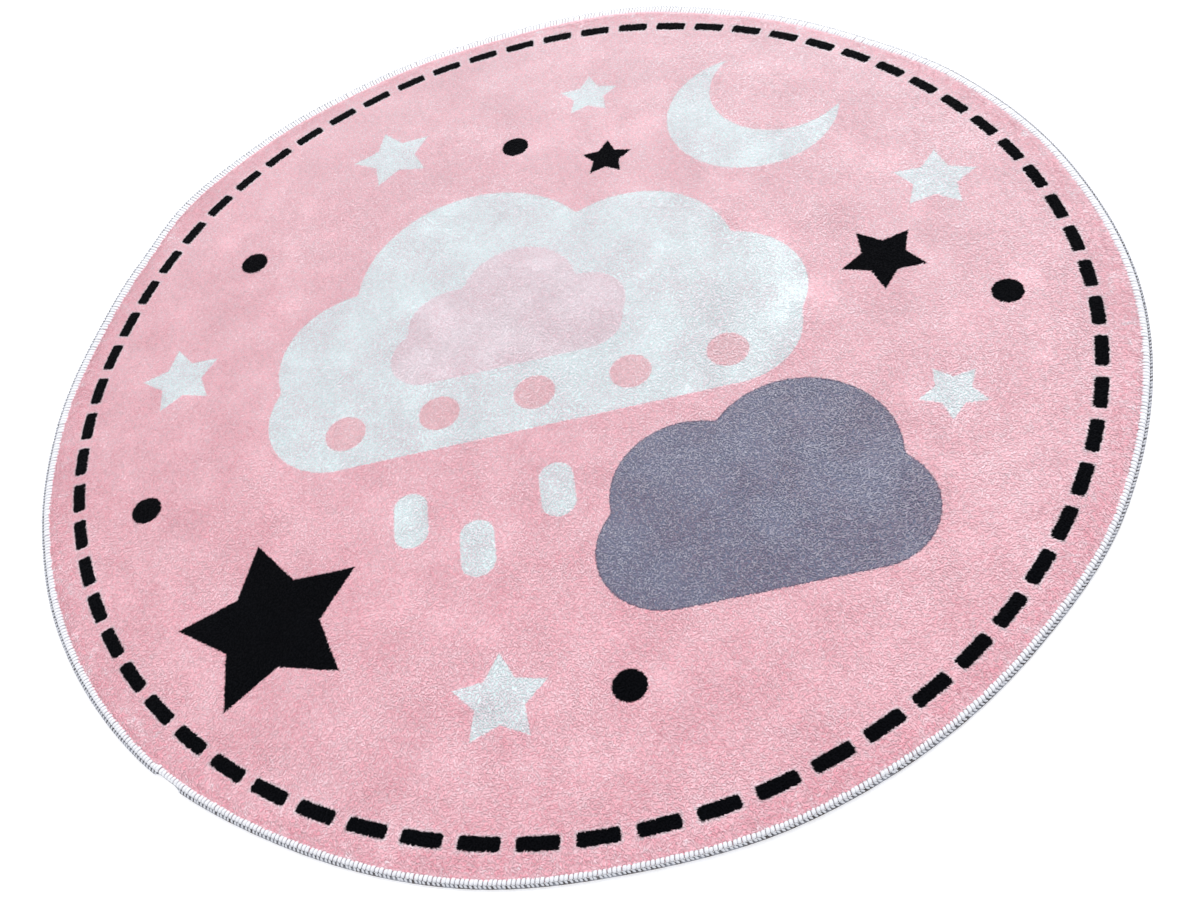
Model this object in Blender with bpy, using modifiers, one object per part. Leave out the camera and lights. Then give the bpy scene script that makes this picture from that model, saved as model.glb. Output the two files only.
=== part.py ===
"""A round plush rug for a child's room, one metre across, lying flat on the floor.

Two pieces: the printed pile cloth, cut round, and the thick overlock yarn that wraps its cut edge.
Each is a turned section. Its points are then moved a little, because the cloth was cut by hand and
its edge doesn't lie quite flat. Metres, +Z up, the floor at z = 0, the rug's middle over the origin.
"""

import math

import bpy

# Driving dimensions.
RUG_RADIUS = 0.500
RUG_THICKNESS = 0.0080
EDGE_THICKNESS = 0.0056
EDGING_WIDTH = 0.0070
YARN_THICKNESS = 0.0012
YARN_PAST_CLOTH = 0.0018
GAP = 0.0003
TURN_STEPS = 144

# Across the flat, the section has points at these radii. From the edge inwards, the pile is worn
# round over PILE_SHOULDER and sinks to the yarn over PILE_SLOPE.
FLAT_RINGS = (0.300, 0.420, 0.450)
PILE_SHOULDER = 0.0220
PILE_SLOPE = 0.0140
SHOULDER_DROP = 0.0008

# The outermost STIFF_WIDTH moves as one, and from there the movement dies out at UNEVEN_WIDTH.
UNEVEN_WIDTH = 0.080
STIFF_WIDTH = 0.030

# How far the cut edge reaches past the mean circle, and how far it lifts off the floor, at each
# angle from +X. Between two rows both run smoothly.
EDGE_COLUMNS = ("angle_deg", "reach_mm", "lift_mm")
EDGE_ROWS = (
    (-170, 1.5, 0.6),
    (-157, 3.0, 1.4),
    (-140, 2.7, 2.6),
    (-121, -2.6, 0.4),
    (-104, -1.4, 0.0),
    (-90, -4.2, 0.8),
    (-76, -0.9, 1.2),
    (-52, -0.9, 0.0),
    (-36, 3.8, 0.5),
    (-12, 5.5, 2.4),
    (10, 2.0, 1.2),
    (29, 0.5, 0.0),
    (43, -5.9, 0.6),
    (60, -4.1, 1.8),
    (74, 0.5, 2.2),
    (94, -4.0, 0.3),
    (111, -0.8, 0.0),
    (126, 3.7, 1.6),
    (140, 6.8, 3.0),
    (151, -0.5, 1.2),
    (162, -2.9, 0.0),
    (176, -0.4, 0.2),
)


def eased(share):
    """A smooth step from 0 to 1."""
    share = min(max(share, 0.0), 1.0)
    return share * share * (3.0 - 2.0 * share)


def edge_at(angle_deg):
    """The edge's reach and lift at an angle, in metres."""
    rows = [dict(zip(EDGE_COLUMNS, row)) for row in EDGE_ROWS]
    for index, row in enumerate(rows):
        later = rows[(index + 1) % len(rows)]
        span = (later["angle_deg"] - row["angle_deg"]) % 360.0
        along = (angle_deg - row["angle_deg"]) % 360.0
        if along < span:
            share = eased(along / span)
            reach = row["reach_mm"] + share * (later["reach_mm"] - row["reach_mm"])
            lift = row["lift_mm"] + share * (later["lift_mm"] - row["lift_mm"])
            return reach / 1000.0, lift / 1000.0
    return 0.0, 0.0


def cloth_section():
    """The cloth's outer side from the top of the pile down to the floor, as (radius, height).

    The pile is full as far as its shoulder, sinks to the yarn and is pressed thin inside it.
    """
    cut_edge = RUG_RADIUS - YARN_PAST_CLOTH
    yarn_starts = RUG_RADIUS - EDGING_WIDTH
    top_in_yarn = EDGE_THICKNESS - YARN_THICKNESS - GAP
    under_in_yarn = YARN_THICKNESS + GAP
    top = [(0.0, RUG_THICKNESS)] + [(radius, RUG_THICKNESS) for radius in FLAT_RINGS]
    under = [(radius, 0.0) for radius in reversed(FLAT_RINGS)] + [(0.0, 0.0)]
    rim = [
        (RUG_RADIUS - PILE_SHOULDER, RUG_THICKNESS),
        (RUG_RADIUS - PILE_SLOPE, RUG_THICKNESS - SHOULDER_DROP),
        (yarn_starts - 0.0020, EDGE_THICKNESS),
        (yarn_starts - 0.0010, top_in_yarn + 0.0001),
        (cut_edge, top_in_yarn),
        (cut_edge, under_in_yarn),
        (yarn_starts - 0.0035, under_in_yarn - GAP),
        (RUG_RADIUS - STIFF_WIDTH, 0.0),
    ]
    return top + rim + under


def edging_section():
    """The wrapped yarn's section, a C that opens towards the rug's middle, closed on itself."""
    inner = RUG_RADIUS - EDGING_WIDTH
    shoulder = RUG_RADIUS - 0.0020
    throat = RUG_RADIUS - YARN_PAST_CLOTH + GAP
    return (
        (inner, EDGE_THICKNESS),
        (shoulder, EDGE_THICKNESS - 0.0001),
        (RUG_RADIUS, 0.5 * EDGE_THICKNESS),
        (shoulder, 0.0),
        (inner, 0.0),
        (inner, YARN_THICKNESS - GAP),
        (throat, YARN_THICKNESS),
        (throat, EDGE_THICKNESS - YARN_THICKNESS),
        (inner, EDGE_THICKNESS - YARN_THICKNESS + 0.0001),
    )


def material(name, colour, roughness):
    """A plain cloth or yarn finish."""
    made = bpy.data.materials.new(name)
    made.use_nodes = True
    shader = made.node_tree.nodes["Principled BSDF"]
    shader.inputs["Base Color"].default_value = (*colour, 1.0)
    shader.inputs["Roughness"].default_value = roughness
    shader.inputs["Metallic"].default_value = 0.0
    return made


def turned(name, section, closed):
    """A section turned about Z with a Screw modifier, as a mesh object at the origin."""
    points = [(radius, 0.0, height) for radius, height in section]
    edges = [(index, index + 1) for index in range(len(points) - 1)]
    if closed:
        edges.append((len(points) - 1, 0))
    profile = bpy.data.meshes.new(name + "_section")
    profile.from_pydata(points, edges, [])
    spinner = bpy.data.objects.new(name + "_section", profile)
    bpy.context.scene.collection.objects.link(spinner)
    screw = spinner.modifiers.new("Turn", "SCREW")
    screw.steps = TURN_STEPS
    screw.render_steps = TURN_STEPS
    screw.use_merge_vertices = True
    screw.merge_threshold = 0.00001
    bpy.context.view_layer.update()
    graph = bpy.context.evaluated_depsgraph_get()
    mesh = bpy.data.meshes.new_from_object(spinner.evaluated_get(graph))
    mesh.name = name
    bpy.data.objects.remove(spinner)
    return bpy.data.objects.new(name, mesh)


def make_uneven(piece):
    """Moves the points near the edge outwards and up, as the hand-cut cloth lies."""
    for vertex in piece.data.vertices:
        radius = math.hypot(vertex.co.x, vertex.co.y)
        share = eased((radius - (RUG_RADIUS - UNEVEN_WIDTH)) / (UNEVEN_WIDTH - STIFF_WIDTH))
        if share == 0.0:
            continue
        reach, lift = edge_at(math.degrees(math.atan2(vertex.co.y, vertex.co.x)))
        vertex.co.x *= 1.0 + share * reach / radius
        vertex.co.y *= 1.0 + share * reach / radius
        vertex.co.z += share * lift


def centre_on_origin(pieces):
    """Puts the middle of the whole rug's outline over the origin."""
    for axis in (0, 1):
        places = [vertex.co[axis] for piece in pieces for vertex in piece.data.vertices]
        middle = 0.5 * (min(places) + max(places))
        for piece in pieces:
            for vertex in piece.data.vertices:
                vertex.co[axis] -= middle


def main():
    for old in list(bpy.data.objects):
        bpy.data.objects.remove(old)
    rug = bpy.data.collections.new("round_kids_rug")
    bpy.context.scene.collection.children.link(rug)

    cloth = turned("pile_cloth", cloth_section(), closed=False)
    cloth.data.materials.append(material("printed pile cloth", (0.80, 0.54, 0.60), 0.95))
    edging = turned("overlock_edging", edging_section(), closed=True)
    edging.data.materials.append(material("overlock yarn", (0.86, 0.84, 0.87), 0.85))

    for piece in (cloth, edging):
        rug.objects.link(piece)
        make_uneven(piece)
        piece.data.shade_smooth()
        piece.data.set_sharp_from_angle(angle=math.radians(40.0))
    centre_on_origin((cloth, edging))


main()
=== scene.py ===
"""A round plush rug for a child's room, lying flat: printed pile cloth with an overlocked edge.

The file follows the rug as it is made: the knitted ground and its underside, the pile that stands
on it with its printed design, and the thick yarn that the overlocker throws round the cut edge.
Lengths are in metres, and in millimetres where a name or a node says so.
"""

import math

import bpy
import numpy as np
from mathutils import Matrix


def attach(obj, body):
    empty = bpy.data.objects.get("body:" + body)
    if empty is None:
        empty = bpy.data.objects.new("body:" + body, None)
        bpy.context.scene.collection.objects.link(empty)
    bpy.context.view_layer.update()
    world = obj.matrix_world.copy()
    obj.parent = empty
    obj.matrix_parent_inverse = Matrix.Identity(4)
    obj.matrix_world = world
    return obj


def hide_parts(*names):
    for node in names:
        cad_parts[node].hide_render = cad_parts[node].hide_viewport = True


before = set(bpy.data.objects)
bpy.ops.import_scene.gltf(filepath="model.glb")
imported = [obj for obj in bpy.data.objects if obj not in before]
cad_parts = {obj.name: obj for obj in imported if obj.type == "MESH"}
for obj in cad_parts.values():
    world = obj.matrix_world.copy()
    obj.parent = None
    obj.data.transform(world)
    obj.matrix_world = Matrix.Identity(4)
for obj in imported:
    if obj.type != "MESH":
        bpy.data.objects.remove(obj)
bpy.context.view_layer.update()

# ---------------------------------------------------------------------------------------------
# The camera looks down at the rug from about a metre, a little from the right, with its own roll.
# ---------------------------------------------------------------------------------------------
camera_data = bpy.data.cameras.new("camera")
camera_data.lens = 39.03
camera_data.sensor_width = 36.0
camera = bpy.data.objects.new("camera", camera_data)
camera.location = (0.1089, -0.8146, 0.8781)
camera.rotation_euler = [math.radians(turn) for turn in (36.853, 11.106, -6.955)]
bpy.context.scene.collection.objects.link(camera)
bpy.context.scene.camera = camera
bpy.context.scene.view_settings.view_transform = "Standard"


def linear(colour):
    """An sRGB hex colour as the linear numbers that nodes and lights take."""
    parts = [int(colour[i : i + 2], 16) / 255.0 for i in (1, 3, 5)]
    return [x / 12.92 if x <= 0.04045 else ((x + 0.055) / 1.055) ** 2.4 for x in parts] + [1.0]


def add(tree, kind, inputs=None, **settings):
    """Adds a node: its settings by name, and each input's value or the output it is linked from."""
    node = tree.nodes.new(kind)
    for name, value in settings.items():
        setattr(node, name, value)
    for socket, value in (inputs or {}).items():
        if isinstance(value, bpy.types.NodeSocket):
            tree.links.new(value, node.inputs[socket])
        else:
            node.inputs[socket].default_value = value
    return node


def material(name):
    """A new material with its nodes cleared away, and its tree."""
    made = bpy.data.materials.new(name)
    made.use_nodes = True
    made.node_tree.nodes.clear()
    return made, made.node_tree


# ---------------------------------------------------------------------------------------------
# The studio: a white floor under an even white sky, with one large soft lamp high behind the rug
# and a weaker one at the front left, so the far pile looks paler and the near edge has a shadow.
# ---------------------------------------------------------------------------------------------
FLOOR_SIZE = 12.0
floor_material, tree = material("white studio floor")
floor_shader = add(tree, "ShaderNodeBsdfDiffuse", {"Color": linear("#fbfbfb")})
floor_glow = add(tree, "ShaderNodeEmission", {"Color": linear("#ffffff"), "Strength": 0.32})
floor_sum = add(tree, "ShaderNodeAddShader", {0: floor_shader.outputs[0], 1: floor_glow.outputs[0]})
add(tree, "ShaderNodeOutputMaterial", {"Surface": floor_sum.outputs[0]})
bpy.ops.object.select_all(action="DESELECT")
bpy.ops.mesh.primitive_plane_add(size=FLOOR_SIZE)
floor = bpy.context.object
floor.name = "floor"
floor.data.materials.append(floor_material)

world = bpy.data.worlds.new("studio")
world.use_nodes = True
world.node_tree.nodes["Background"].inputs["Color"].default_value = linear("#f7f9ff")
world.node_tree.nodes["Background"].inputs["Strength"].default_value = 0.87
bpy.context.scene.world = world

LAMP_COLUMNS = ("name", "place", "size", "watts", "colour")
LAMP_ROWS = (
    ("back_lamp", (0.75, 1.45, 2.2), 1.6, 42.0, "#fffdfa"),
    ("front_lamp", (-1.2, -1.6, 1.8), 1.8, 7.0, "#fff8f2"),
)
for lamp_row in (dict(zip(LAMP_COLUMNS, row)) for row in LAMP_ROWS):
    lamp_data = bpy.data.lights.new(lamp_row["name"], "AREA")
    lamp_data.shape = "DISK"
    lamp_data.size = lamp_row["size"]
    lamp_data.energy = lamp_row["watts"]
    lamp_data.color = linear(lamp_row["colour"])[:3]
    lamp = bpy.data.objects.new(lamp_row["name"], lamp_data)
    lamp.location = lamp_row["place"]
    lamp.rotation_euler = (-lamp.location).to_track_quat("-Z", "Y").to_euler()
    bpy.context.scene.collection.objects.link(lamp)

# ---------------------------------------------------------------------------------------------
# How the rug lies. It was cut by hand and its edge doesn't lie quite flat, so every piece is made
# for an even round rug first, and then its points are moved to where the frame's edge lies.
# ---------------------------------------------------------------------------------------------
RUG_RADIUS = 0.500
UNEVEN_WIDTH = 0.080
STIFF_WIDTH = 0.030
TURN_STEPS = 144
BAND_MEAN = 0.0088
BAND_SWING = 0.0038
BAND_WIDEST_DEG = 95.0
PILE_FALL = 0.0022
FALL_WIDTH = 0.0080

edging_points = np.array([v.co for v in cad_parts["overlock_edging"].data.vertices])
edging_angle = np.arctan2(edging_points[:, 1], edging_points[:, 0])
edging_reach = np.hypot(edging_points[:, 0], edging_points[:, 1])
section_number = np.round(edging_angle / (2 * math.pi / TURN_STEPS)).astype(int) % TURN_STEPS
edge_angle = np.zeros(TURN_STEPS)
edge_reach = np.zeros(TURN_STEPS)
edge_lift = np.zeros(TURN_STEPS)
for step in range(TURN_STEPS):
    of_section = np.flatnonzero(section_number == step)
    outermost = of_section[np.argmax(edging_reach[of_section])]
    edge_angle[step] = edging_angle[outermost]
    edge_reach[step] = edging_reach[outermost] - RUG_RADIUS
    edge_lift[step] = edging_points[of_section, 2].min()


def eased(share):
    """A smooth step from 0 to 1."""
    share = np.clip(share, 0.0, 1.0)
    return share * share * (3.0 - 2.0 * share)


def laid_out(points):
    """Moves points of an even round rug to where this one's uneven edge lies."""
    angle = np.arctan2(points[:, 1], points[:, 0])
    radius = np.hypot(points[:, 0], points[:, 1])
    share = eased((radius - (RUG_RADIUS - UNEVEN_WIDTH)) / (UNEVEN_WIDTH - STIFF_WIDTH))
    reach = share * np.interp(angle, edge_angle, edge_reach, period=2 * math.pi)
    lift = share * np.interp(angle, edge_angle, edge_lift, period=2 * math.pi)
    stretch = 1.0 + reach / np.maximum(radius, 1e-6)
    return np.column_stack([points[:, :2] * stretch[:, None], points[:, 2] + lift])


def band_width(angle):
    """How far the edging shows in from the rug's edge. The pile lies over it most on one side."""
    return BAND_MEAN + BAND_SWING * np.cos(angle - math.radians(BAND_WIDEST_DEG))


def from_band(places):
    """How far inside the edging's inner edge each place lies."""
    angle = np.arctan2(places[:, 1], places[:, 0])
    return RUG_RADIUS - band_width(angle) - np.hypot(places[:, 0], places[:, 1])


def pile_fall(to_band):
    """How much lower the cloth stands near the edging, which binds it down."""
    return PILE_FALL * eased((FALL_WIDTH - to_band) / FALL_WIDTH)


NOISE_SIDE = 1.30
NOISE_CORNER = 0.62


def soft_noise(points, patch, seed):
    """Smooth noise from -1 to 1 over flat places, with patches of about that many metres."""
    cells = int(NOISE_SIDE / patch) + 4
    lattice = np.random.default_rng(seed).uniform(-1.0, 1.0, (cells, cells))
    at = (points[:, :2] + NOISE_CORNER) / patch
    low = np.floor(at).astype(int)
    part = eased(at - low)
    x, y = low.T
    near = lattice[x, y] * (1 - part[:, 0]) + lattice[x + 1, y] * part[:, 0]
    far = lattice[x, y + 1] * (1 - part[:, 0]) + lattice[x + 1, y + 1] * part[:, 0]
    return near * (1 - part[:, 1]) + far * part[:, 1]


BROAD_SWELL = 0.00035
BROAD_PATCH = 0.075
SMALL_SWELL = 0.00022
SMALL_PATCH = 0.022


def pile_swell(points):
    """How far the pile stands above or below its mean height, from brushing and packing."""
    broad = BROAD_SWELL * soft_noise(points, BROAD_PATCH, 11)
    return broad + SMALL_SWELL * soft_noise(points, SMALL_PATCH, 12)


# ---------------------------------------------------------------------------------------------
# The printed design, as a node group that gives the dye's colour at a flat place in millimetres
# from the print's middle. Transfer-printed cloth: flat areas with slightly ragged edges, because
# the pile moves under the press. Clouds, a moon, stars and dots inside a ring of dashes.
# ---------------------------------------------------------------------------------------------
PRINT_MIDDLE = (-0.0007, -0.0057)
DASH_RING_MM = 463.4
DASH_COUNT = 67
DASH_TURN_DEG = 176.02
DASH_LENGTH_MM = 32.4
DASH_WIDTH_MM = 11.6
DASH_ROUNDING_MM = 5.0
HORN_ROUNDING_MM = 4.0
PRESS_MOVE_MM = 1.6
CLOUD_MELTING_MM = 7.0
EDGE_SOFTNESS_MM = 0.6
STAR_HALF_POINT_DEG = 36
STAR_FAT_DEG = 62.2
STAR_WAIST = 0.467

DYES = {
    "pink": "#f4c4cc",
    "white": "#e6f7f7",
    "blush": "#ebe0e5",
    "coral": "#edc5ca",
    "grey": "#80859a",
    "grey line": "#5c5e74",
    "navy": "#04060b",
}

# Rounded boxes: the lowest and highest corner of the box that the rounding rolls on, and its
# radius. A box with no size is a disc. Shapes of one name melt together into one outline.
BLOB_COLUMNS = ("shape", "low_mm", "high_mm", "radius_mm")
BLOB_ROWS = (
    ("grey cloud", (62, -238), (222, -238), 58),
    ("grey cloud", (92, -188), (92, -188), 70),
    ("grey cloud", (184, -178), (184, -178), 82),
    ("white cloud", (-212, -20), (150, -20), 68),
    ("white cloud", (-190, 42), (-190, 42), 82),
    ("white cloud", (-72, 108), (-72, 108), 122),
    ("white cloud", (78, 84), (78, 84), 98),
    ("white cloud", (158, 24), (158, 24), 74),
    ("blush cloud", (-128, 24), (26, 24), 34),
    ("blush cloud", (-100, 58), (-100, 58), 44),
    ("blush cloud", (-34, 84), (-34, 84), 56),
    ("blush cloud", (28, 48), (28, 48), 38),
    ("moon", (228, 264), (228, 264), 88),
    ("moon shadow", (262, 294), (262, 294), 72),
    ("coral dots", (-206, -48), (-206, -48), 19),
    ("coral dots", (-118, -48), (-118, -48), 19),
    ("coral dots", (-30, -48), (-30, -48), 19),
    ("coral dots", (58, -48), (58, -48), 19),
    ("coral dots", (146, -48), (146, -48), 19),
    ("drops", (-148, -172), (-148, -146), 15),
    ("drops", (-92, -214), (-92, -188), 15),
    ("drops", (-20, -172), (-20, -146), 15),
    ("black dots", (-304, 206), (-304, 206), 14),
    ("black dots", (-392, -86), (-392, -86), 14),
    ("black dots", (392, -52), (392, -52), 14),
    ("black dots", (16, -352), (16, -352), 14),
    ("black dots", (-20, 292), (-20, 292), 14),
)

STAR_COLUMNS = ("shape", "middle_mm", "radius_mm", "turn_deg")
STAR_ROWS = (
    ("white stars", (-152, 322), 44, 12),
    ("white stars", (66, 348), 32, -8),
    ("white stars", (372, 104), 40, -14),
    ("white stars", (-372, 66), 40, 8),
    ("white stars", (318, -146), 30, 20),
    ("white stars", (-84, -342), 40, -4),
    ("black stars", (-270, -232), 82, 10),
    ("black stars", (72, 242), 27, -10),
    ("black stars", (302, 20), 40, 24),
)


def star_group():
    """The distance in millimetres from a place to a five-pointed star's outline, less inside."""
    group = bpy.data.node_groups.new("star outline", "ShaderNodeTree")
    group.interface.new_socket("Place", in_out="INPUT", socket_type="NodeSocketVector")
    group.interface.new_socket("Middle", in_out="INPUT", socket_type="NodeSocketVector")
    group.interface.new_socket("Radius", in_out="INPUT", socket_type="NodeSocketFloat")
    group.interface.new_socket("Turn", in_out="INPUT", socket_type="NodeSocketFloat")
    group.interface.new_socket("Distance", in_out="OUTPUT", socket_type="NodeSocketFloat")
    given = add(group, "NodeGroupInput").outputs
    from_middle = {0: given["Place"], 1: given["Middle"]}
    local = add(group, "ShaderNodeVectorMath", from_middle, operation="SUBTRACT")
    split = add(group, "ShaderNodeSeparateXYZ", {0: local.outputs[0]})
    angle = add(group, "ShaderNodeMath", {0: split.outputs["X"], 1: split.outputs["Y"]}, operation="ARCTAN2")
    turned = add(group, "ShaderNodeMath", {0: angle.outputs[0], 1: given["Turn"]}, operation="ADD")
    half_point = {0: turned.outputs[0], 1: math.radians(STAR_HALF_POINT_DEG)}
    folded = add(group, "ShaderNodeMath", half_point, operation="PINGPONG")
    from_fat = {0: folded.outputs[0], 1: math.radians(STAR_FAT_DEG)}
    off = add(group, "ShaderNodeMath", from_fat, operation="SUBTRACT")
    leaning = add(group, "ShaderNodeMath", {0: off.outputs[0]}, operation="COSINE")
    length = add(group, "ShaderNodeVectorMath", {0: local.outputs[0]}, operation="LENGTH")
    reach = {0: leaning.outputs[0], 1: length.outputs["Value"]}
    across = add(group, "ShaderNodeMath", reach, operation="MULTIPLY")
    waist = add(group, "ShaderNodeMath", {0: given["Radius"], 1: STAR_WAIST}, operation="MULTIPLY")
    distance = add(group, "ShaderNodeMath", {0: across.outputs[0], 1: waist.outputs[0]}, operation="SUBTRACT")
    add(group, "NodeGroupOutput", {0: distance.outputs[0]})
    return group


def blob_distance(tree, place, shape):
    """The distance to the outline of all rounded boxes of that name, melted together."""
    joined = None
    for blob in (dict(zip(BLOB_COLUMNS, row)) for row in BLOB_ROWS):
        if blob["shape"] != shape:
            continue
        low, high = (*blob["low_mm"], 0), (*blob["high_mm"], 0)
        above = add(tree, "ShaderNodeVectorMath", {0: place, 1: low}, operation="MAXIMUM")
        nearest = add(tree, "ShaderNodeVectorMath", {0: above.outputs[0], 1: high}, operation="MINIMUM")
        gap = add(tree, "ShaderNodeVectorMath", {0: place, 1: nearest.outputs[0]}, operation="DISTANCE")
        from_disc = {0: gap.outputs["Value"], 1: blob["radius_mm"]}
        outline = add(tree, "ShaderNodeMath", from_disc, operation="SUBTRACT")
        if joined is None:
            joined = outline
        else:
            both = {0: joined.outputs[0], 1: outline.outputs[0], 2: CLOUD_MELTING_MM}
            joined = add(tree, "ShaderNodeMath", both, operation="SMOOTH_MIN")
    return joined.outputs[0]


def star_distance(tree, place, shape, group):
    """The distance to the nearest outline of the stars of that name."""
    joined = None
    for star in (dict(zip(STAR_COLUMNS, row)) for row in STAR_ROWS):
        if star["shape"] != shape:
            continue
        given = {
            "Place": place,
            "Middle": (*star["middle_mm"], 0),
            "Radius": star["radius_mm"],
            "Turn": math.radians(star["turn_deg"]),
        }
        outline = add(tree, "ShaderNodeGroup", given, node_tree=group)
        if joined is None:
            joined = outline
        else:
            both = {0: joined.outputs[0], 1: outline.outputs[0]}
            joined = add(tree, "ShaderNodeMath", both, operation="MINIMUM")
    return joined.outputs[0]


def dash_distance(tree, place):
    """The distance to the outline of the ring's nearest dash."""
    spacing = 2 * math.pi / DASH_COUNT
    split = add(tree, "ShaderNodeSeparateXYZ", {0: place})
    angle = add(tree, "ShaderNodeMath", {0: split.outputs["Y"], 1: split.outputs["X"]}, operation="ARCTAN2")
    shift = spacing - math.radians(DASH_TURN_DEG) % spacing
    turned = add(tree, "ShaderNodeMath", {0: angle.outputs[0], 1: shift}, operation="ADD")
    folded = add(tree, "ShaderNodeMath", {0: turned.outputs[0], 1: spacing / 2}, operation="PINGPONG")
    along = add(tree, "ShaderNodeMath", {0: folded.outputs[0], 1: DASH_RING_MM}, operation="MULTIPLY")
    radius = add(tree, "ShaderNodeVectorMath", {0: place}, operation="LENGTH")
    off = add(tree, "ShaderNodeMath", {0: radius.outputs["Value"], 1: DASH_RING_MM}, operation="SUBTRACT")
    across = add(tree, "ShaderNodeMath", {0: off.outputs[0]}, operation="ABSOLUTE")
    to_end = {0: along.outputs[0], 1: DASH_LENGTH_MM / 2}
    past_end = add(tree, "ShaderNodeMath", to_end, operation="SUBTRACT")
    to_side = {0: across.outputs[0], 1: DASH_WIDTH_MM / 2}
    past_side = add(tree, "ShaderNodeMath", to_side, operation="SUBTRACT")
    both = {0: past_end.outputs[0], 1: past_side.outputs[0], 2: DASH_ROUNDING_MM}
    return add(tree, "ShaderNodeMath", both, operation="SMOOTH_MAX").outputs[0]


def inside(tree, distance, softness=EDGE_SOFTNESS_MM, reach=0.0):
    """1 inside an outline and 0 outside it, with a soft edge, and the outline moved out by reach."""
    edge = {"From Min": reach - softness, "From Max": reach + softness, "To Min": 1.0, "To Max": 0.0}
    return add(tree, "ShaderNodeMapRange", {"Value": distance, **edge}).outputs["Result"]


def dyed(tree, under, dye, share):
    """The colour under a dye, with the dye, by its name or as a colour, over it where share is 1."""
    over = linear(DYES[dye]) if isinstance(dye, str) else dye
    mixed = {"Factor": share, 6: under, 7: over}
    return add(tree, "ShaderNodeMix", mixed, data_type="RGBA").outputs[2]


def printed_design():
    """The design as a node group: a flat place in millimetres in, the dye's colour out."""
    tree = bpy.data.node_groups.new("printed design", "ShaderNodeTree")
    tree.interface.new_socket("Place", in_out="INPUT", socket_type="NodeSocketVector")
    tree.interface.new_socket("Colour", in_out="OUTPUT", socket_type="NodeSocketColor")
    given = add(tree, "NodeGroupInput").outputs["Place"]
    stars = star_group()

    # The press moves the pile by up to a millimetre, so the outlines are a little ragged.
    moved = add(tree, "ShaderNodeTexNoise", {"Vector": given, "Scale": 0.34, "Detail": 1.0})
    from_half = {0: moved.outputs["Color"], 1: (0.5, 0.5, 0.5)}
    centred = add(tree, "ShaderNodeVectorMath", from_half, operation="SUBTRACT")
    press_move = {0: centred.outputs[0], 1: (PRESS_MOVE_MM, PRESS_MOVE_MM, 0.0)}
    sized = add(tree, "ShaderNodeVectorMath", press_move, operation="MULTIPLY")
    ragged = add(tree, "ShaderNodeVectorMath", {0: given, 1: sized.outputs[0]}, operation="ADD")
    only_flat = {0: ragged.outputs[0], 1: (1.0, 1.0, 0.0)}
    place = add(tree, "ShaderNodeVectorMath", only_flat, operation="MULTIPLY").outputs[0]

    colour = add(tree, "ShaderNodeRGB").outputs[0]
    colour.default_value = linear(DYES["pink"])

    # The grey cloud has a thin darker line where its dye meets the others.
    grey = blob_distance(tree, place, "grey cloud")
    colour = dyed(tree, colour, "grey", inside(tree, grey))
    on_line = add(tree, "ShaderNodeMath", {0: grey}, operation="ABSOLUTE").outputs[0]
    colour = dyed(tree, colour, "grey line", inside(tree, on_line, 0.6, 0.5))
    white = blob_distance(tree, place, "white cloud")
    colour = dyed(tree, colour, "white", inside(tree, white))
    colour = dyed(tree, colour, "blush", inside(tree, blob_distance(tree, place, "blush cloud")))
    moon = blob_distance(tree, place, "moon")
    shadow = blob_distance(tree, place, "moon shadow")
    cut = add(tree, "ShaderNodeMath", {0: shadow, 1: -1.0}, operation="MULTIPLY").outputs[0]
    both = {0: moon, 1: cut, 2: HORN_ROUNDING_MM}
    crescent = add(tree, "ShaderNodeMath", both, operation="SMOOTH_MAX").outputs[0]
    colour = dyed(tree, colour, "white", inside(tree, crescent))
    colour = dyed(tree, colour, "white", inside(tree, star_distance(tree, place, "white stars", stars)))
    colour = dyed(tree, colour, "white", inside(tree, blob_distance(tree, place, "drops")))
    colour = dyed(tree, colour, "coral", inside(tree, blob_distance(tree, place, "coral dots")))
    colour = dyed(tree, colour, "navy", inside(tree, star_distance(tree, place, "black stars", stars)))
    colour = dyed(tree, colour, "navy", inside(tree, blob_distance(tree, place, "black dots")))

    # The dashes have a pale rim, where the pile was parted and its undyed roots show.
    dashes = dash_distance(tree, place)
    near_dash = {0: inside(tree, dashes, 0.9, 1.3), 1: 0.35}
    rim = add(tree, "ShaderNodeMath", near_dash, operation="MULTIPLY").outputs[0]
    colour = dyed(tree, colour, "white", rim)
    colour = dyed(tree, colour, "navy", inside(tree, dashes, 0.5))
    add(tree, "NodeGroupOutput", {0: colour})
    return tree


design = printed_design()

# ---------------------------------------------------------------------------------------------
# The ground: the knitted cloth that the pile stands on. White polyester yarn, knitted fine, dyed
# through from the face under the pile and left white on the underside. Cut round, with its rim
# pressed thin inside the edging. The first 7 mm of the rug's height is ground and packed roots.
# ---------------------------------------------------------------------------------------------
GROUND_TOP = 0.0070
GROUND_SIDES = 288
GROUND_COLUMNS = ("radius", "height")
GROUND_ROWS = (
    (0.120, 0.0004),
    (0.220, 0.0004),
    (0.320, 0.0004),
    (0.400, 0.0004),
    (0.440, 0.0004),
    (0.462, 0.0004),
    (0.476, 0.0006),
    (0.488, 0.0012),
    (0.4968, 0.0018),
    (0.4968, 0.0032),
    (0.4935, 0.0038),
    (0.4900, 0.0044),
    (0.4860, 0.0056),
    (0.4810, GROUND_TOP - 0.0003),
    (0.4750, GROUND_TOP),
    (0.4600, GROUND_TOP),
    (0.4300, GROUND_TOP),
    (0.3900, GROUND_TOP),
    (0.3300, GROUND_TOP),
    (0.2600, GROUND_TOP),
    (0.1800, GROUND_TOP),
    (0.0900, GROUND_TOP),
)

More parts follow.
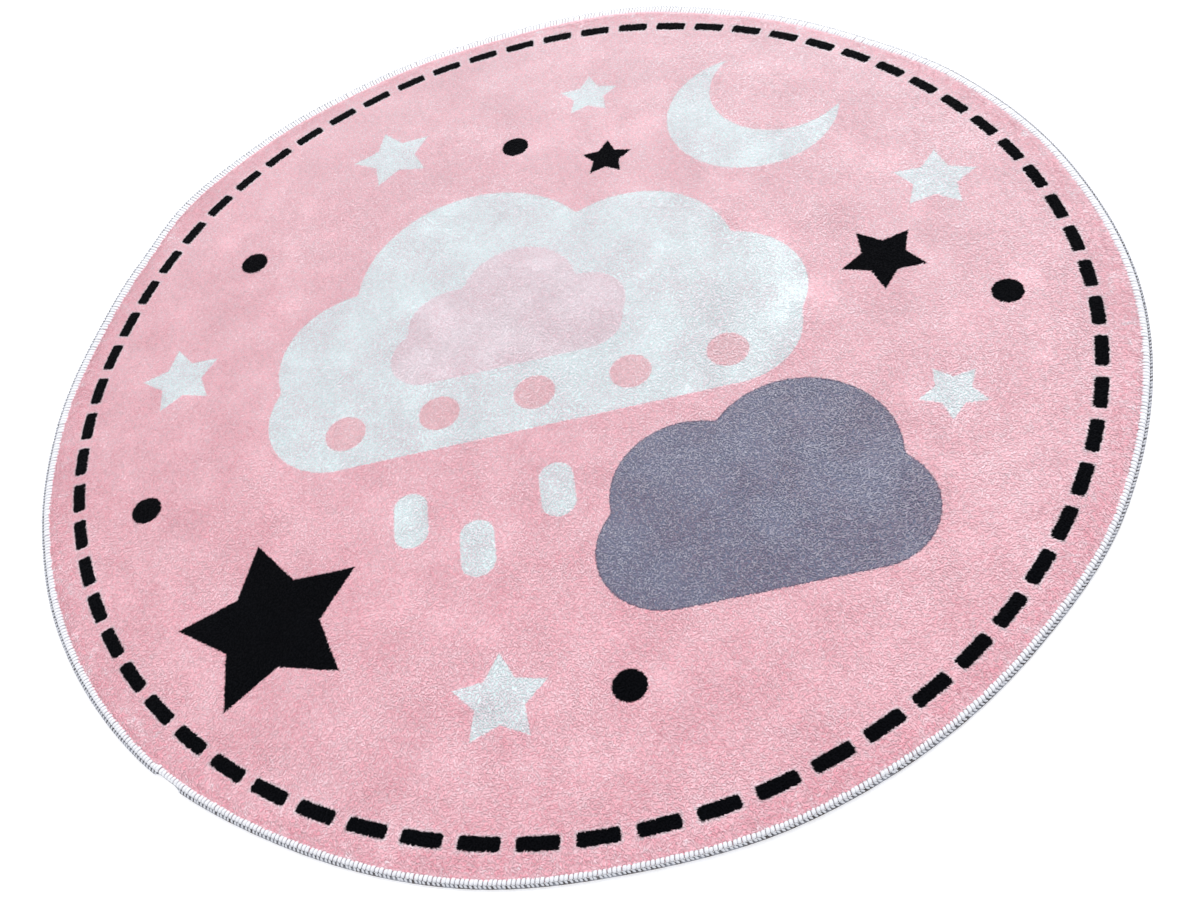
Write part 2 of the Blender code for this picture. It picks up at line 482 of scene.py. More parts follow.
bpy.ops.object.select_all(action="DESELECT")
first_ring = dict(zip(GROUND_COLUMNS, GROUND_ROWS[0]))
bpy.ops.mesh.primitive_circle_add(
    vertices=GROUND_SIDES,
    radius=first_ring["radius"],
    fill_type="TRIFAN",
    location=(0, 0, first_ring["height"]),
)
ground = bpy.context.object
ground.name = "knitted_ground"
bpy.ops.object.transform_apply(location=True)
bpy.ops.object.mode_set(mode="EDIT")
bpy.ops.mesh.select_all(action="DESELECT")
bpy.ops.mesh.select_mode(type="EDGE")
bpy.ops.mesh.select_non_manifold()
for before, after in zip(GROUND_ROWS, GROUND_ROWS[1:]):
    widen = after[0] / before[0]
    bpy.ops.mesh.extrude_edges_move(TRANSFORM_OT_translate={"value": (0, 0, after[1] - before[1])})
    bpy.ops.transform.resize(value=(widen, widen, 1), center_override=(0, 0, 0))
bpy.ops.mesh.edge_face_add()
bpy.ops.mesh.poke()
bpy.ops.mesh.select_all(action="SELECT")
bpy.ops.mesh.normals_make_consistent(inside=False)
bpy.ops.object.mode_set(mode="OBJECT")

ground_points = np.array([v.co for v in ground.data.vertices])
on_top = ground_points[:, 2] > 0.5 * GROUND_TOP
to_band = from_band(ground_points)
under_pile = on_top & (to_band > 0)
packed = GROUND_TOP - pile_fall(to_band[under_pile])
ground_points[under_pile, 2] = np.maximum(ground_points[under_pile, 2], packed)
ground_points[on_top, 2] += pile_swell(ground_points[on_top])
PRINT_MAP_SIDE = 1.04


def write_print_map(mesh, places):
    """Writes each point's flat place on the print to a map that spans PRINT_MAP_SIDE metres.
    """
    flat = (places[:, :2] - PRINT_MIDDLE) / PRINT_MAP_SIDE + 0.5
    corner = np.empty(len(mesh.loops), np.int32)
    mesh.loops.foreach_get("vertex_index", corner)
    layer = mesh.uv_layers.new(name="OFBake")
    layer.uv.foreach_set("vector", flat[corner].astype(np.float32).ravel())


for layer in list(ground.data.uv_layers):
    ground.data.uv_layers.remove(layer)
laid_ground = laid_out(ground_points)
write_print_map(ground.data, laid_ground)
ground.data.vertices.foreach_set("co", laid_ground.astype(np.float32).ravel())
ground.data.shade_smooth()

# Dyed roots: the same print as the pile's, deeper in colour because little light gets down there.
root_material, tree = material("dyed polyester roots")
print_map = add(tree, "ShaderNodeUVMap", uv_map="OFBake")
to_mm = {
    "Location": (-500 * PRINT_MAP_SIDE, -500 * PRINT_MAP_SIDE, 0),
    "Scale": (1000 * PRINT_MAP_SIDE, 1000 * PRINT_MAP_SIDE, 0),
}
print_place = add(tree, "ShaderNodeMapping", {**to_mm, "Vector": print_map.outputs[0]})
root_print = add(tree, "ShaderNodeGroup", {"Place": print_place.outputs[0]}, node_tree=design)
deeper = add(tree, "ShaderNodeGamma", {"Color": root_print.outputs["Colour"], "Gamma": 1.1})
root_inputs = {"Base Color": deeper.outputs[0], "Roughness": 1.0, "Specular IOR Level": 0.1}
root_shader = add(tree, "ShaderNodeBsdfPrincipled", root_inputs)
add(tree, "ShaderNodeOutputMaterial", {"Surface": root_shader.outputs[0]})

# The underside: fine courses of knitting 1.6 mm apart, crossed by the wales, in off-white yarn, with painted
# shade between the loops.
knit_material, tree = material("knitted polyester back")
knit_place = add(tree, "ShaderNodeTexCoord").outputs["Object"]
COURSE_MM = 1.6
WALE_MM = 1.3
loop_size = {"Vector": knit_place, "Scale": (1000 / WALE_MM, 1000 / COURSE_MM, 0)}
courses = add(tree, "ShaderNodeMapping", loop_size)
loop_inputs = {"Vector": courses.outputs[0], "Scale": 1.0, "Randomness": 0.25}
stitches = add(tree, "ShaderNodeTexVoronoi", loop_inputs)
knit_wear = add(tree, "ShaderNodeTexNoise", {"Vector": knit_place, "Scale": 14.0, "Detail": 4.0})
knit_tint = dyed(tree, linear("#e9e4e2"), linear("#f6f3f1"), knit_wear.outputs[0])
knit_shade = {"From Min": 0.2, "From Max": 0.75, "To Min": 0.0, "To Max": 0.45}
knit_painted_shade = add(tree, "ShaderNodeMapRange", {"Value": stitches.outputs["Distance"], **knit_shade})
knit_colour = dyed(tree, knit_tint, linear("#b9b0b0"), knit_painted_shade.outputs[0])
knit_relief = {"Height": stitches.outputs["Distance"], "Strength": 0.6, "Distance": 0.0006}
knit_bump = add(tree, "ShaderNodeBump", knit_relief, invert=True)
knit_inputs = {
    "Base Color": knit_colour,
    "Roughness": 0.95,
    "Specular IOR Level": 0.15,
    "Normal": knit_bump.outputs[0],
}
knit_shader = add(tree, "ShaderNodeBsdfPrincipled", knit_inputs)
add(tree, "ShaderNodeOutputMaterial", {"Surface": knit_shader.outputs[0]})

ground.data.materials.clear()
ground.data.materials.append(root_material)
ground.data.materials.append(knit_material)
for face in ground.data.polygons:
    face.material_index = int(face.normal.z < -0.3)

# ---------------------------------------------------------------------------------------------
# The pile: short dense plush, cut to one height and brushed one way, so its tufts lie over each
# other like scales. Each tuft is a closed splinter with a ridge along its top. The pile is tousled
# outside the ring of dashes and hangs a little over the edging. Made in four quarters.
# ---------------------------------------------------------------------------------------------
TUFT_SPACING = 0.00213
TUFT_LENGTH = 0.0034
TUFT_HALF_WIDTH = 0.00094
RIDGE_DROP = 0.00032
SIDE_DROP = 0.00078
PILE_TOP = 0.0080
NAP_DEG = -62.0
ROOT_STRAY = 0.36
BACK_SHARE = 0.4
RIDGE_SHARE = 0.3
RIM_WIDTH = 0.025
RIM_BLEND = 0.007
OVERHANG_DEG = 12.0


def tuft_roots():
    """Roots on a close-packed grid over the even round rug, each a little off its place."""
    row_step = TUFT_SPACING * math.sin(math.radians(60))
    rows = int(RUG_RADIUS / row_step)
    columns = int(RUG_RADIUS / TUFT_SPACING)
    column, row = np.meshgrid(np.arange(-columns, columns + 1), np.arange(-rows, rows + 1))
    x = (column + 0.5 * (row % 2)).ravel() * TUFT_SPACING
    y = row.ravel() * row_step
    roots = np.column_stack([x, y])
    roots += np.random.default_rng(21).uniform(-ROOT_STRAY, ROOT_STRAY, roots.shape) * TUFT_SPACING
    return roots[from_band(roots) > 0]


def tufts(roots, seed):
    """Each tuft's four points, their softened normals, their painted shade with some random tone, and the
    tuft's tone.
    """
    rng = np.random.default_rng(seed)
    count = len(roots)
    radius = np.hypot(roots[:, 0], roots[:, 1])
    angle = np.arctan2(roots[:, 1], roots[:, 0])
    to_band = from_band(roots)
    rim = eased((RIM_WIDTH - to_band) / RIM_BLEND)
    last = eased((FALL_WIDTH - to_band) / FALL_WIDTH)

    nap = np.radians(NAP_DEG) + 0.75 * soft_noise(roots, 0.085, 31)
    nap += 0.45 * soft_noise(roots, 0.016, 32)
    nap += rng.normal(0.0, 0.75, count) + rim * 0.3 * soft_noise(roots, 0.007, 33)
    outward = roots / np.maximum(radius, 1e-6)[:, None]
    hang = np.clip(0.4 + 0.6 * np.cos(angle - math.radians(OVERHANG_DEG)), 0.0, 1.0)
    lean = np.column_stack([np.cos(nap), np.sin(nap)])
    leans_out = np.maximum((lean * outward).sum(axis=1), 0.0)
    lean += (last * (1.6 * hang - (1 - hang) * leans_out))[:, None] * outward
    lean /= np.linalg.norm(lean, axis=1, keepdims=True)
    across = np.column_stack([-lean[:, 1], lean[:, 0]])

    length = TUFT_LENGTH * rng.uniform(0.75, 1.2, count) * (1 + 0.15 * rim) * (1 - 0.25 * last)
    half_width = TUFT_HALF_WIDTH * rng.uniform(0.8, 1.25, count)
    top = PILE_TOP + pile_swell(roots) + rng.normal(0.0, 0.00008, count)
    top += rim * (0.00006 * soft_noise(roots, 0.006, 34) + rng.normal(0.0, 0.00003, count))
    drop = 1 + 0.1 * rim

    points = np.empty((count, 4, 3))
    back = roots - (BACK_SHARE * length)[:, None] * lean
    points[:, 0, :2] = back + half_width[:, None] * across
    points[:, 1, :2] = back - half_width[:, None] * across
    points[:, 2, :2] = roots - (RIDGE_SHARE * length)[:, None] * lean
    points[:, 3, :2] = roots + ((1 - BACK_SHARE) * length)[:, None] * lean
    points[:, 0, 2] = points[:, 1, 2] = top - SIDE_DROP * drop
    points[:, 2, 2] = top - RIDGE_DROP * drop
    points[:, 3, 2] = top
    points[:, :, 2] -= pile_fall(from_band(points.reshape(-1, 3))).reshape(count, 4)

    normals = np.zeros_like(points)
    normals[:, :, 2] = 1.0
    normals[:, 0, :2] = 0.45 * across
    normals[:, 1, :2] = -0.45 * across
    normals[:, 2, :2] = -0.1 * lean
    normals[:, 3, :2] = 0.3 * lean
    normals /= np.linalg.norm(normals, axis=2, keepdims=True)

    # Painted shade: the low points of each tuft get deeper colour, and so do the tufts by the edging where
    # the pile doesn't hang over it; a little random tone from tuft to tuft is added.
    pile_shade_and_tone = np.zeros((count, 4))
    pile_shade_and_tone[:, :2] = 0.55
    pile_shade_and_tone[:, 2] = 0.25
    pile_shade_and_tone += (np.abs(rng.normal(0.0, 0.10, count)) + 0.35 * last * (1 - hang))[:, None]
    tone = np.repeat((rng.random(count) + 0.25 * last * hang)[:, None], 4, axis=1)
    return points, normals, np.clip(pile_shade_and_tone, 0.0, 1.0), tone


def joined_mesh(name, points, faces):
    """One mesh from an array of points and an array of triangles."""
    mesh = bpy.data.meshes.new(name)
    mesh.vertices.add(len(points))
    mesh.vertices.foreach_set("co", points.astype(np.float32).ravel())
    mesh.loops.add(faces.size)
    mesh.loops.foreach_set("vertex_index", faces.astype(np.int32).ravel())
    mesh.polygons.add(len(faces))
    mesh.polygons.foreach_set("loop_start", np.arange(0, faces.size, 3, dtype=np.int32))
    mesh.update(calc_edges=True)
    mesh.shade_smooth()
    return mesh


# Disperse-dyed polyester plush: matt, with a pale sheen at a low angle from the fibre ends. Painted
# shade: the colour is deeper low in each tuft, by the edging where the pile doesn't hang over it, and
# where the pile was parted or brushed back. Some tufts took less dye than others, and so did the tips
# that hang over the edging. Painted sheen: the pile is paler towards the far right.
DEEPER_IN_SHADE = (0.91, 0.66, 0.71)
UNDYED_AND_SHEEN = "#f3f2f6"
FIBRE_MM = 1.3
CLUMP_MM = (9.0, 3.2)
PARTING_MM = 14.0
BRUSHED_MM = 60.0
PAST_RING_MM = (468.0, 480.0)
PAINTED_SHEEN_WAY = (0.5, 0.87, 0.0)
plush_material, tree = material("printed polyester plush")
print_map = add(tree, "ShaderNodeUVMap", uv_map="OFBake")
print_place = add(tree, "ShaderNodeMapping", {**to_mm, "Vector": print_map.outputs[0]}).outputs[0]
print_colour = add(tree, "ShaderNodeGroup", {"Place": print_place}, node_tree=design).outputs["Colour"]

# The pile is parted mostly outside the ring: some patches are combed open, with painted shade that makes them
# deeper and rosy, some pale.
from_middle = add(tree, "ShaderNodeVectorMath", {0: print_place}, operation="LENGTH")
past_ring = {"Value": from_middle.outputs["Value"], "From Min": PAST_RING_MM[0], "From Max": PAST_RING_MM[1]}
parted_most = add(tree, "ShaderNodeMapRange", {**past_ring, "To Min": 0.12, "To Max": 1.0})
parting_inputs = {"Vector": print_place, "Scale": 1 / PARTING_MM, "Detail": 4.0, "Roughness": 0.7}
parting = add(tree, "ShaderNodeTexNoise", parting_inputs)
opened_range = {"From Min": 0.45, "From Max": 0.60, "To Min": 0.12, "To Max": 0.75}
opened = add(tree, "ShaderNodeMapRange", {"Value": parting.outputs[0], **opened_range})
opened_there = {0: parted_most.outputs[0], 1: opened.outputs[0]}
parted_shade = add(tree, "ShaderNodeMath", opened_there, operation="MULTIPLY")
brushed_inputs = {"Vector": print_place, "Scale": 1 / BRUSHED_MM, "Detail": 4.0, "Roughness": 0.6}
brushed = add(tree, "ShaderNodeTexNoise", brushed_inputs)
# Painted shade: where the broad brushed pattern is low the pile counts as brushed back, and its colour is
# made deeper.
brushed_range = {"From Min": 0.40, "From Max": 0.62, "To Min": 0.45, "To Max": 0.0}
brushed_back_shade = add(tree, "ShaderNodeMapRange", {"Value": brushed.outputs[0], **brushed_range})
# Painted shade: the tufts' own shade and tone, the parted patches and the brushed-back patches all deepen the
# print.
tuft_shade_and_tone = add(tree, "ShaderNodeAttribute", attribute_name="pile_shade_and_tone")
shade_inputs = {0: parted_shade.outputs[0], 1: brushed_back_shade.outputs[0]}
shade_there = add(tree, "ShaderNodeMath", shade_inputs, operation="ADD")
all_shade_inputs = {0: shade_there.outputs[0], 1: tuft_shade_and_tone.outputs["Fac"]}
shade_and_tone_share = add(tree, "ShaderNodeMath", all_shade_inputs, operation="ADD", use_clamp=True)
shaded_print = add(tree, "ShaderNodeVectorMath", {0: print_colour, 1: DEEPER_IN_SHADE}, operation="MULTIPLY")
shaded_dye_colour = dyed(tree, print_colour, shaded_print.outputs[0], shade_and_tone_share.outputs[0])

# Painted sheen: paler towards the far right, less so past the ring. Less dye in pale tufts and in pale
# patches. None of this where the ink is black.
towards_side = {0: print_place, 1: PAINTED_SHEEN_WAY}
painted_sheen_way = add(tree, "ShaderNodeVectorMath", towards_side, operation="DOT_PRODUCT")
painted_sheen_range = {"From Min": -250.0, "From Max": 520.0, "To Min": 0.0, "To Max": 0.38}
painted_sheen_side = add(tree, "ShaderNodeMapRange", {"Value": painted_sheen_way.outputs["Value"], **painted_sheen_range})
painted_sheen_most = add(tree, "ShaderNodeMapRange", {**past_ring, "To Min": 1.0, "To Max": 0.55})
painted_sheen_inputs = {0: painted_sheen_side.outputs[0], 1: painted_sheen_most.outputs[0]}
painted_sheen = add(tree, "ShaderNodeMath", painted_sheen_inputs, operation="MULTIPLY")
tuft_tone = add(tree, "ShaderNodeAttribute", attribute_name="tone")
tone_range = {"From Min": 0.2, "From Max": 1.6, "To Min": 0.0, "To Max": 0.55}
pale_tuft = add(tree, "ShaderNodeMapRange", {"Value": tuft_tone.outputs["Fac"], **tone_range})
closed_range = {"From Min": 0.44, "From Max": 0.36, "To Max": 0.35}
closed = add(tree, "ShaderNodeMapRange", {"Value": parting.outputs[0], **closed_range})
closed_there = {0: parted_most.outputs[0], 1: closed.outputs[0]}
pale_patch = add(tree, "ShaderNodeMath", closed_there, operation="MULTIPLY")
pale_here = add(tree, "ShaderNodeMath", {0: painted_sheen.outputs[0], 1: pale_tuft.outputs[0]}, operation="ADD")
pale = add(tree, "ShaderNodeMath", {0: pale_here.outputs[0], 1: pale_patch.outputs[0]}, operation="ADD")
grey_of_print = add(tree, "ShaderNodeRGBToBW", {0: print_colour})
ink_range = {"From Min": 0.02, "From Max": 0.36}
not_black = add(tree, "ShaderNodeMapRange", {"Value": grey_of_print.outputs[0], **ink_range})
undyed_and_sheen_inputs = {0: pale.outputs[0], 1: not_black.outputs[0]}
undyed_and_sheen_share = add(tree, "ShaderNodeMath", undyed_and_sheen_inputs, operation="MULTIPLY")
# Pale undyed colour from pale tufts and patches, and painted sheen towards the far right, mixed into the dyed
# colour.
fibre_colour = dyed(tree, shaded_dye_colour, linear(UNDYED_AND_SHEEN), undyed_and_sheen_share.outputs[0])

# Single fibres, clumps that lie along the nap, and brushed patches, as three patterns of light.
fibre_inputs = {"Vector": print_place, "Scale": 1 / FIBRE_MM, "Detail": 2.0, "Roughness": 0.7}
fibres = add(tree, "ShaderNodeTexNoise", fibre_inputs, noise_dimensions="2D")
nap_turn = {"Vector": print_place, "Rotation": (0, 0, math.radians(-NAP_DEG))}
along_nap = add(tree, "ShaderNodeMapping", nap_turn)
clump_size = {"Vector": along_nap.outputs[0], "Scale": (1 / CLUMP_MM[0], 1 / CLUMP_MM[1], 0)}
clump_place = add(tree, "ShaderNodeMapping", clump_size)
clump_inputs = {"Vector": clump_place.outputs[0], "Scale": 1.0, "Detail": 1.0, "Distortion": 0.6}
clumps = add(tree, "ShaderNodeTexNoise", clump_inputs, noise_dimensions="2D")
light = 1.0
for pattern, darkest, lightest in ((fibres, 0.83, 1.14), (clumps, 0.95, 1.05), (brushed, 0.95, 1.04)):
    between = {"From Min": 0.3, "From Max": 0.7, "To Min": darkest, "To Max": lightest}
    pattern_light = add(tree, "ShaderNodeMapRange", {"Value": pattern.outputs[0], **between})
    lights = {0: light, 1: pattern_light.outputs[0]}
    light = add(tree, "ShaderNodeMath", lights, operation="MULTIPLY").outputs[0]
lit = add(tree, "ShaderNodeVectorMath", {0: fibre_colour, "Scale": light}, operation="SCALE")
fibre_bump = add(tree, "ShaderNodeBump", {"Height": fibres.outputs[0], "Strength": 0.5, "Distance": 0.0005})
plush_inputs = {
    "Base Color": lit.outputs[0],
    "Roughness": 1.0,
    "Specular IOR Level": 0.05,
    "Sheen Weight": 0.14,
    "Sheen Roughness": 0.45,
    "Normal": fibre_bump.outputs[0],
}
plush_shader = add(tree, "ShaderNodeBsdfPrincipled", plush_inputs)
add(tree, "ShaderNodeOutputMaterial", {"Surface": plush_shader.outputs[0]})

all_roots = tuft_roots()
root_quarter = np.floor(np.arctan2(all_roots[:, 1], all_roots[:, 0]) / (math.pi / 2)).astype(int) % 4
TUFT_FACES = np.array([(0, 2, 3), (2, 1, 3), (1, 0, 3), (0, 1, 2)])
for quarter in range(4):
    roots = all_roots[root_quarter == quarter]
    points, normals, pile_shade_and_tone, tone = tufts(roots, 41 + quarter)
    faces = (np.arange(len(roots))[:, None, None] * 4 + TUFT_FACES).reshape(-1, 3)
    mesh = joined_mesh("plush_pile_%d" % (quarter + 1), laid_out(points.reshape(-1, 3)), faces)

    # The print went on from above, onto the tuft as it lay, so the outlines are nearly sharp.
    middle = points.mean(axis=1, keepdims=True)
    write_print_map(mesh, laid_out((middle + 0.5 * (points - middle)).reshape(-1, 3)))
    for name, values in (("pile_shade_and_tone", pile_shade_and_tone), ("tone", tone)):
        attribute = mesh.attributes.new(name, "FLOAT", "POINT")
        attribute.data.foreach_set("value", values.astype(np.float32).ravel())
    mesh.normals_split_custom_set_from_vertices(normals.reshape(-1, 3).astype(np.float32))
    mesh.materials.append(plush_material)
    piece = bpy.data.objects.new(mesh.name, mesh)
    bpy.context.scene.collection.objects.link(piece)
    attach(piece, "root")

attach(ground, "root")
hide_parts("pile_cloth")

# ---------------------------------------------------------------------------------------------
# The edging: thick white textured polyester yarn from a three-thread overlocker. Each stitch
# throws a wrap over the edge, from the face round to the underside, a little slanted, and leaves
# room for the chain outside it. Where the machine started and finished, the wraps reach a little less
# far in just before the joint, and stand up in a small knob that reaches further in at it.
# ---------------------------------------------------------------------------------------------
STITCH_PITCH = 0.00344
STITCH_COUNT = round(2 * math.pi * RUG_RADIUS / STITCH_PITCH)
CHAIN_ROOM = 0.0026
YARN_SIDES = 8
JOINT_DEG = -135.9
TUCKED_DEG = 3.4
# Each row is a ring of the yarn: its share of the band in from the chain, its middle's height, and
# half its width and half its height.
WRAP_ROWS = (
    (1.05, 0.0038, 0.00110, 0.00060),
    (0.88, 0.0047, 0.00155, 0.00095),
    (0.50, 0.0050, 0.00164, 0.00115),
    (0.18, 0.0045, 0.00164, 0.00112),
    (0.05, 0.0034, 0.00152, 0.00095),
    (0.04, 0.0018, 0.00138, 0.00065),
    (0.50, 0.0006, 0.00150, 0.00050),
    (1.10, 0.0006, 0.00082, 0.00045),
)


WRAP_INSET = 0.0018
WRAP_SLANT = 0.0007
YARN_LOWEST = 0.0001


def past_joint(angle):
    """1 where the stitching lies over its own start and the chain is tucked under, 0 elsewhere."""
    share = (angle - math.radians(JOINT_DEG)) / math.radians(TUCKED_DEG)
    return eased(8 * share) * eased(4 * (1 - share))


def near_joint(angle, from_joint_deg, half_width_deg):
    """A soft bump that is 1 at that many degrees from the joint."""
    return np.exp(-(((angle - math.radians(JOINT_DEG + from_joint_deg)) / math.radians(half_width_deg)) ** 2))


def wraps(count, seed):
    """All wraps of the yarn as one array of points: a ring of points at each row of the table."""
    rng = np.random.default_rng(seed)
    table = np.array(WRAP_ROWS)
    stitch = np.arange(count) + rng.normal(0.0, 0.03, count)
    angle = 2 * math.pi * stitch / count - math.pi
    knob = near_joint(angle, 0.1, 0.2)
    band = band_width(angle) - WRAP_INSET - 0.0008 * near_joint(angle, -0.9, 0.6) + 0.0009 * knob
    slant = WRAP_SLANT + rng.normal(0.0, 0.00012, count)
    reach = rng.normal(0.0, 0.00025, count)
    fat = rng.normal(1.0, 0.03, count)
    rise = rng.normal(0.0, 0.00008, count) + 0.0006 * knob
    rings = np.empty((count, len(table), YARN_SIDES, 3))
    along = np.linspace(-1.0, 1.0, len(table))
    section = np.column_stack([-table[:, 0] * BAND_MEAN, table[:, 1]])
    heading = np.gradient(section, axis=0)
    heading /= np.linalg.norm(heading, axis=1, keepdims=True)
    for place, (band_share, height, half_width, half_height) in enumerate(table):
        outward = np.array([-heading[place, 1], heading[place, 0]])
        inner = place in (0, 1, len(table) - 1)
        radius = RUG_RADIUS - CHAIN_ROOM - 0.0004 * past_joint(angle) - band_share * band
        radius = radius - (reach if inner else 0.0)
        sideways = -slant * along[place]
        for side in range(YARN_SIDES):
            turn = 2 * math.pi * side / YARN_SIDES
            across = half_width * fat * math.cos(turn) + sideways
            off = half_height * fat * math.sin(turn)
            far = radius + off * outward[0]
            rings[:, place, side, 0] = far * np.cos(angle) - across * np.sin(angle)
            rings[:, place, side, 1] = far * np.sin(angle) + across * np.cos(angle)
            rings[:, place, side, 2] = np.maximum(height + off * outward[1] + rise, YARN_LOWEST)
    return rings


def tube_faces(rings, sides):
    """The triangles of one closed tube of that many rings, its ends closed by fans of triangles."""
    faces = []
    for ring in range(rings - 1):
        for side in range(sides):
            a = ring * sides + side
            b = ring * sides + (side + 1) % sides
            faces += [(a, b, b + sides), (a, b + sides, a + sides)]
    last = (rings - 1) * sides
    for side in range(1, sides - 1):
        faces += [(0, side + 1, side), (last, last + side, last + side + 1)]
    return np.array(faces)


wrap_rings = wraps(STITCH_COUNT, 61)
one_wrap = tube_faces(len(WRAP_ROWS), YARN_SIDES)
wrap_size = len(WRAP_ROWS) * YARN_SIDES
wrap_faces = (np.arange(STITCH_COUNT)[:, None, None] * wrap_size + one_wrap).reshape(-1, 3)
wrap_mesh = joined_mesh("edging_wraps", laid_out(wrap_rings.reshape(-1, 3)), wrap_faces)

# How much painted shade each point gets: 1 between two wraps, and more low down at their outside.
LOW_OUTER_ROW = 5
SHADE_BETWEEN_WRAPS = 1.0
SHADE_LOW_OUTSIDE = 1.2


def write_painted_yarn_shade(mesh, painted_yarn_shade):
    """Writes how much painted shade each point gets."""
    values = painted_yarn_shade.astype(np.float32).ravel()
    mesh.attributes.new("painted_yarn_shade", "FLOAT", "POINT").data.foreach_set("value", values)


wrap_painted_shade = np.zeros((STITCH_COUNT, len(WRAP_ROWS), YARN_SIDES))
wrap_painted_shade[:, :, [0, YARN_SIDES // 2]] = SHADE_BETWEEN_WRAPS
wrap_painted_shade[:, LOW_OUTER_ROW] = SHADE_LOW_OUTSIDE
write_painted_yarn_shade(wrap_mesh, wrap_painted_shade)
edging_wraps = bpy.data.objects.new("edging_wraps", wrap_mesh)
bpy.context.scene.collection.objects.link(edging_wraps)

# Texturised polyester yarn: soft, matt and nearly white, its crimped filaments catching shadow. Painted
# shade: grey between the wraps and on the knots, dark brown low on the wraps' outside and on the chain's low
# thread.
yarn_material, tree = material("texturised polyester yarn")
yarn_place = add(tree, "ShaderNodeTexCoord").outputs["Object"]
crimp_inputs = {"Vector": yarn_place, "Scale": 1600.0, "Detail": 3.0, "Roughness": 0.6}
crimp = add(tree, "ShaderNodeTexNoise", crimp_inputs)
dust = add(tree, "ShaderNodeTexNoise", {"Vector": yarn_place, "Scale": 60.0, "Detail": 3.0})
yarn_tint = dyed(tree, linear("#ecedf0"), linear("#f8f8fa"), dust.outputs[0])
crimp_range = {"From Min": 0.35, "From Max": 0.55, "To Min": 0.3, "To Max": 0.0}
crimp_dark = add(tree, "ShaderNodeMapRange", {"Value": crimp.outputs[0], **crimp_range})
crimped = dyed(tree, yarn_tint, linear("#cdd0d9"), crimp_dark.outputs[0])
yarn_shade_amount = add(tree, "ShaderNodeAttribute", attribute_name="painted_yarn_shade")
how_shaded = {"Value": yarn_shade_amount.outputs["Fac"]}
in_grey_shade = add(tree, "ShaderNodeMapRange", {**how_shaded, "From Min": 0.35, "From Max": 1.0, "To Max": 0.8})
in_dark_shade = add(tree, "ShaderNodeMapRange", {**how_shaded, "From Min": 1.0, "From Max": 1.8})
grey_shaded = dyed(tree, crimped, linear("#878d9a"), in_grey_shade.outputs[0])
yarn_colour = dyed(tree, grey_shaded, linear("#453b35"), in_dark_shade.outputs[0])
yarn_bump = add(tree, "ShaderNodeBump", {"Height": crimp.outputs[0], "Strength": 0.4, "Distance": 0.0003})
yarn_inputs = {
    "Base Color": yarn_colour,
    "Roughness": 0.9,
    "Specular IOR Level": 0.2,
    "Sheen Weight": 0.2,
    "Sheen Roughness": 0.5,
    "Normal": yarn_bump.outputs[0],
}
yarn_shader = add(tree, "ShaderNodeBsdfPrincipled", yarn_inputs)
add(tree, "ShaderNodeOutputMaterial", {"Surface": yarn_shader.outputs[0]})
wrap_mesh.materials.append(yarn_material)
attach(edging_wraps, "root")
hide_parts("overlock_edging")

# ---------------------------------------------------------------------------------------------
# The chain: where the two looper threads lock round each other along the outer edge, one slanted
# knot to each stitch, painted a little grey as shade, over a low thread painted dark brown as the
# shade between the knots. Past the joint the knots are drawn in under the wraps for a short way.
# ---------------------------------------------------------------------------------------------
KNOT_SIDES = 6
KNOT_LENGTH = 0.0032
KNOT_THICK = 0.00084
KNOT_SLANT_DEG = 36.0
KNOT_HEIGHT = 0.0037
KNOT_TAPER = (0.35, 0.88, 1.0, 0.88, 0.35)
CHAIN_RADIUS = RUG_RADIUS - 0.0010
THREAD_TURNS = 720
THREAD_WIDE = 0.00120
THREAD_THICK = 0.00060
THREAD_HEIGHT = 0.0022
KNOT_PAINTED_SHADE = 0.68
KNOT_TUCK = 0.0026
KNOT_TUCK_DOWN = 0.0012
THREAD_TUCK = 0.0024


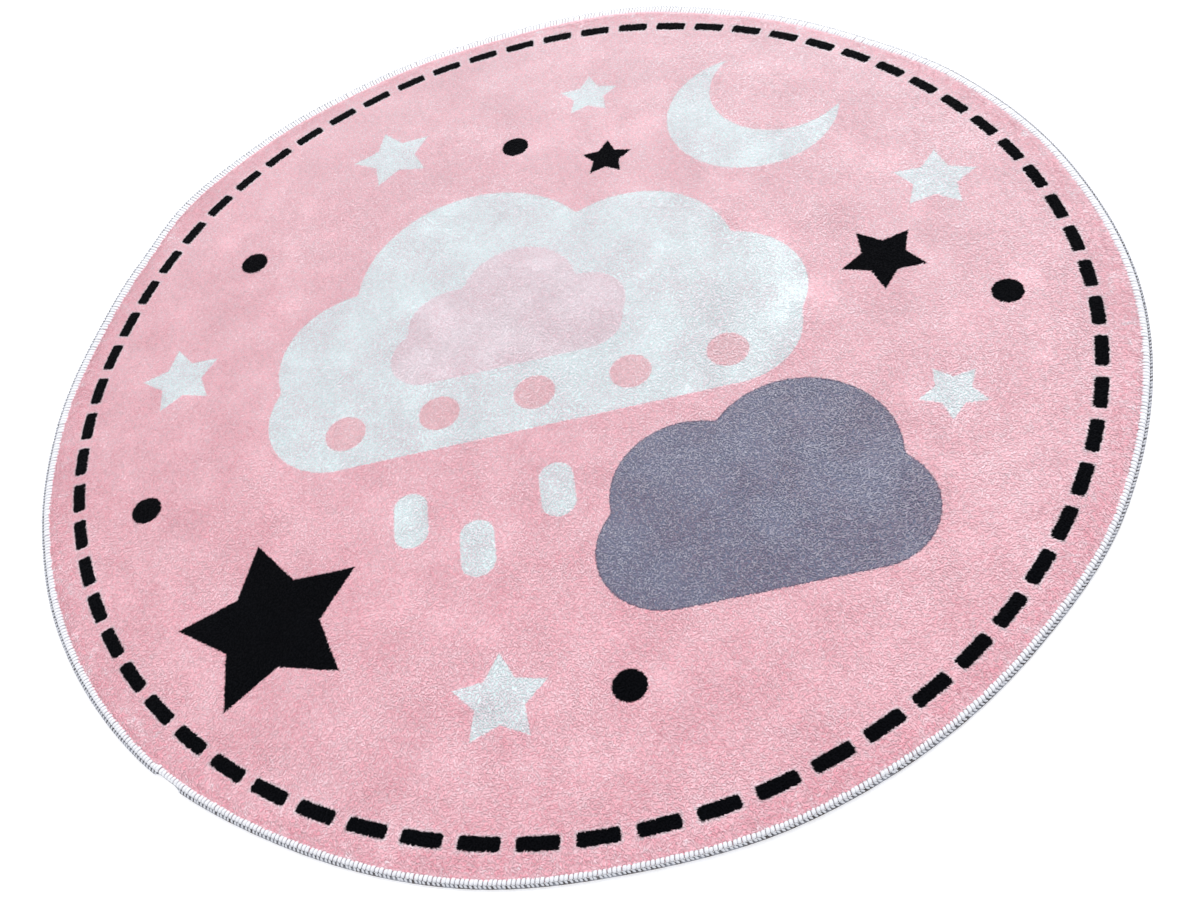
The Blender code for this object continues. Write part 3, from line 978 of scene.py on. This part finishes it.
def knots(count, seed):
    """All knots of the chain as one array of points, a ring of points at each taper."""
    rng = np.random.default_rng(seed)
    angle = 2 * math.pi * (np.arange(count) + rng.normal(0.0, 0.10, count)) / count - math.pi
    slant = np.radians(KNOT_SLANT_DEG + rng.normal(0.0, 4.0, count))
    out = rng.normal(0.0, 0.00008, count) - KNOT_TUCK * past_joint(angle)
    middle_height = KNOT_HEIGHT - KNOT_TUCK_DOWN * past_joint(angle)
    rings = np.empty((count, len(KNOT_TAPER), KNOT_SIDES, 3))
    for place, taper in enumerate(KNOT_TAPER):
        along = KNOT_LENGTH * (place / (len(KNOT_TAPER) - 1) - 0.5)
        for side in range(KNOT_SIDES):
            turn = 2 * math.pi * side / KNOT_SIDES
            across = KNOT_THICK * taper * math.cos(turn)
            radius = CHAIN_RADIUS + out + along * np.sin(slant) + across * np.cos(slant)
            sideways = along * np.cos(slant) - across * np.sin(slant)
            rings[:, place, side, 0] = radius * np.cos(angle) - sideways * np.sin(angle)
            rings[:, place, side, 1] = radius * np.sin(angle) + sideways * np.cos(angle)
            rings[:, place, side, 2] = middle_height + KNOT_THICK * taper * math.sin(turn)
    return rings


def low_thread():
    """The thread under the knots: a flat ring of points, and its triangles."""
    angle = 2 * math.pi * np.arange(THREAD_TURNS) / THREAD_TURNS - math.pi
    turn = 2 * math.pi * np.arange(KNOT_SIDES) / KNOT_SIDES
    radius = (CHAIN_RADIUS - THREAD_TUCK * past_joint(angle))[:, None] + THREAD_WIDE * np.cos(turn)
    height = THREAD_HEIGHT + THREAD_THICK * np.sin(turn) + 0 * radius
    x, y = radius * np.cos(angle)[:, None], radius * np.sin(angle)[:, None]
    points = np.stack([x, y, height], axis=2)
    faces = []
    for here in range(THREAD_TURNS):
        after = (here + 1) % THREAD_TURNS
        for side in range(KNOT_SIDES):
            a, b = here * KNOT_SIDES + side, here * KNOT_SIDES + (side + 1) % KNOT_SIDES
            c, d = after * KNOT_SIDES + side, after * KNOT_SIDES + (side + 1) % KNOT_SIDES
            faces += [(a, b, d), (a, d, c)]
    return points.reshape(-1, 3), np.array(faces)


knot_points = knots(STITCH_COUNT, 71).reshape(-1, 3)
one_knot = tube_faces(len(KNOT_TAPER), KNOT_SIDES)
knot_size = len(KNOT_TAPER) * KNOT_SIDES
knot_faces = (np.arange(STITCH_COUNT)[:, None, None] * knot_size + one_knot).reshape(-1, 3)
thread_points, thread_faces = low_thread()
chain_points = laid_out(np.concatenate([knot_points, thread_points]))
chain_faces = np.concatenate([knot_faces, thread_faces + len(knot_points)])
chain_mesh = joined_mesh("edging_chain", chain_points, chain_faces)
# Painted shade: the low thread dark brown, the knots a little grey.
thread_painted_shade = np.repeat(np.random.default_rng(81).uniform(1.1, 1.8, THREAD_TURNS), KNOT_SIDES)
knot_painted_shade = np.full(len(knot_points), KNOT_PAINTED_SHADE)
write_painted_yarn_shade(chain_mesh, np.concatenate([knot_painted_shade, thread_painted_shade]))
chain_mesh.materials.append(yarn_material)
edging_chain = bpy.data.objects.new("edging_chain", chain_mesh)
bpy.context.scene.collection.objects.link(edging_chain)
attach(edging_chain, "root")
